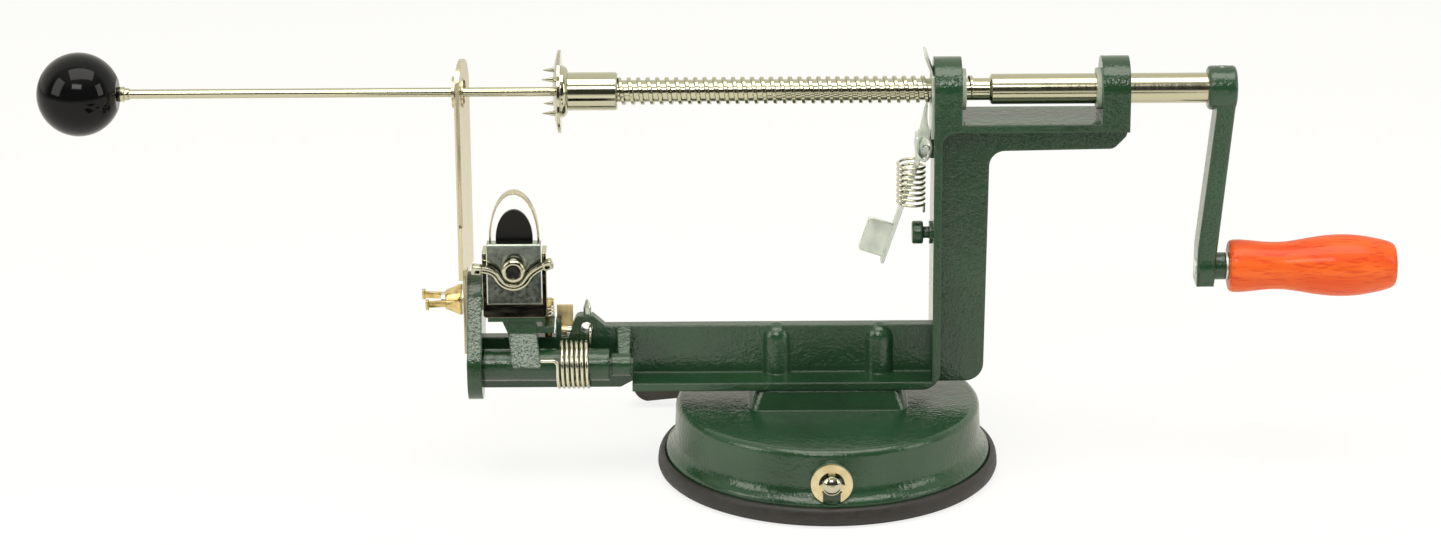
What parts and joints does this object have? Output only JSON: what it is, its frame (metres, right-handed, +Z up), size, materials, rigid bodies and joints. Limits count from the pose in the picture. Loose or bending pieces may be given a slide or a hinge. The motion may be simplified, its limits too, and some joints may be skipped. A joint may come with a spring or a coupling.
{
  "type": "spiral potato cutter",
  "caption": "Hand-cranked cutter on a suction base: a screw-fed shaft turns a potato on a skewer past an upright blade, with a sprung peeling arm, wing nuts and a release lever.",
  "frame": {"origin": "middle of the suction pad's flat underside", "axes": "+X along the drive shaft towards the crank, -Y the front, +Z up"},
  "size_m": [0.4326, 0.115, 0.1403],
  "materials": {
    "green_enamel": "gloss, fine orange peel",
    "pad_rubber": "matte",
    "zinc_steel": "zinc plated, satin",
    "dark_lever": "satin",
    "bush_plastic": "satin",
    "chromed_steel": "polished",
    "spring_steel": "bright drawn",
    "blade_steel": "ground",
    "black_ball": "high gloss",
    "orange_wood": "clear gloss lacquer over stain",
    "brass": "satin"
  },
  "bodies": {
    "frame": {"frame_casting": "green_enamel", "base_housing": "green_enamel", "suction_pad": "pad_rubber", "front_bush": "bush_plastic", "rear_bush": "bush_plastic", "base_screws": "zinc_steel", "slicer_blade": "blade_steel", "slicer_bolt": "zinc_steel", "slicer_washer": "zinc_steel", "pivot_rod": "zinc_steel", "lever_pin": "zinc_steel", "anchor_knob": "green_enamel", "spring_post": "zinc_steel", "torsion_spring": "spring_steel", "feed_spring": "spring_steel", "catch_rod": "zinc_steel", "guide_plate": "zinc_steel"},
    "skewer": {"skewer_rod": "blade_steel", "skewer_ferrule": "blade_steel", "ball_handle": "black_ball"},
    "shaft": {"drive_shaft": "chromed_steel", "fork_disc": "chromed_steel", "crank_arm": "green_enamel", "crank_pin": "zinc_steel", "handle_rod": "zinc_steel", "handle_washer": "zinc_steel"},
    "grip": {"handle_grip": "orange_wood"},
    "release_lever": {"feed_lever": "zinc_steel"},
    "peeling_arm": {"peeler_arm": "green_enamel", "stop_screw": "zinc_steel", "stop_spring": "spring_steel", "blade_holder": "chromed_steel", "blade_clamp": "chromed_steel", "peeling_blade": "blade_steel", "depth_guide": "blade_steel", "clamp_bolt": "chromed_steel", "holder_screw": "zinc_steel"},
    "catch": {"arm_catch": "zinc_steel"},
    "suction_axle": {"cam_axle": "zinc_steel", "e_clip": "zinc_steel", "suction_lever": "dark_lever"},
    "stem": {"suction_stem": "zinc_steel"},
    "clamp_nut": {"clamp_wing_nut": "chromed_steel"},
    "slicer_nut": {"slicer_wing_nut": "brass"}
  },
  "joints": [
    {"name": "feed", "type": "slide", "parent": "frame", "child": "skewer", "axis": [1, 0, 0], "range_m": [-0.019, 0.0905]},
    {"name": "crank_turn", "type": "hinge", "parent": "skewer", "child": "shaft", "pos_m": [0, 0, 0.127], "axis": [1, 0, 0], "range_deg": [-2279, 10859]},
    {"name": "grip_spin", "type": "hinge", "parent": "shaft", "child": "grip", "pos_m": [0.15, 0, 0.0674], "axis": [1, 0, 0], "continuous": true},
    {"name": "feed_release", "type": "hinge", "parent": "frame", "child": "release_lever", "pos_m": [0.0309, 0, 0.1084], "axis": [0, -1, 0], "range_deg": [0, 8], "stiffness_Nm_per_rad": 0.08, "springref_deg": -14.32, "deforming": ["feed_spring"]},
    {"name": "peeler_swing", "type": "hinge", "parent": "frame", "child": "peeling_arm", "pos_m": [-0.09, -0.0105, 0.0389], "axis": [1, 0, 0], "range_deg": [0, 50], "stiffness_Nm_per_rad": 0.06, "springref_deg": -34.38, "deforming": ["torsion_spring"]},
    {"name": "catch_swing", "type": "hinge", "parent": "frame", "child": "catch", "pos_m": [-0.083, 0, 0.0469], "axis": [-1, 0, 0], "range_deg": [0, 35]},
    {"name": "suction_lever_turn", "type": "hinge", "parent": "frame", "child": "suction_axle", "pos_m": [0, 0, 0.0134], "axis": [0, 1, 0], "range_deg": [0, 180]},
    {"name": "stem_lift", "type": "slide", "parent": "frame", "child": "stem", "axis": [0, 0, 1], "range_m": [0, 0.0025], "deforming": ["suction_pad"]},
    {"name": "clamp_nut_turn", "type": "hinge", "parent": "peeling_arm", "child": "clamp_nut", "pos_m": [-0.1002, -0.015, 0.0726], "axis": [0, 1, 0], "range_deg": [0, 360]},
    {"name": "slicer_nut_turn", "type": "hinge", "parent": "frame", "child": "slicer_nut", "pos_m": [-0.12, 0, 0.0576], "axis": [1, 0, 0], "range_deg": [0, 360]}
  ],
  "couplings": [
    {"joint": "feed", "follows": "crank_turn", "m_per_rad": 0.00047746},
    {"joint": "stem_lift", "follows": "suction_lever_turn", "m_per_rad": 0.00076394}
  ]
}
